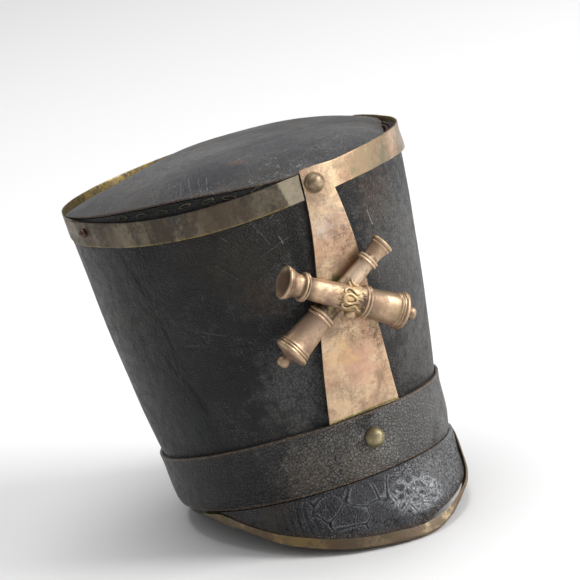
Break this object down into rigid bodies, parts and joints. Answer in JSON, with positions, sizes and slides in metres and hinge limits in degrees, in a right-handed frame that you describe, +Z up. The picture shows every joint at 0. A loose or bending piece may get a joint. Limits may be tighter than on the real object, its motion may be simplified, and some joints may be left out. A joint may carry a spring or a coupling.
{
  "type": "shako hat",
  "caption": "Old leather shako with a brass band, front plate, crossed-cannon badge and a brass-bound peak, tipped back at rest on its peak and rim.",
  "frame": {"origin": "centre of the bounding box's bottom, on the surface that the hat rests on", "axes": "+Z up, the hat's front faces -Y, the wearer's left is +X; the hat is tipped back by 9.25 degrees onto its peak binding and the back of its rim"},
  "size_m": [0.228, 0.2978, 0.2473],
  "materials": {
    "crown_leather": "near-black cool grey leather, scuffed, finely cracked",
    "top_leather": "near-black leather, greyer and scuffed on top",
    "strap_leather": "black pebbled leather worn brown",
    "peak_leather": "black lacquered leather, heavily crackled",
    "band_brass": "grey-brown tarnished sheet brass",
    "plate_brass": "worn pinkish-gold sheet brass with verdigris",
    "badge_brass": "worn cast brass, dark in its grooves",
    "binding_brass": "tarnished folded brass",
    "rivet_brass": "tarnished brass",
    "button_brass": "olive-gold tarnished brass"
  },
  "bodies": {
    "root": {"crown_wall": "crown_leather", "crown_top": "top_leather", "base_strap": "strap_leather", "peak": "peak_leather", "band_right": "band_brass", "band_back": "band_brass", "plate_and_band": "plate_brass", "plate_rivet": "rivet_brass", "side_rivet_right": "rivet_brass", "side_rivet_left": "rivet_brass", "strap_button": "button_brass", "cannon_badge": "badge_brass", "peak_binding": "binding_brass"}
  },
  "joints": []
}
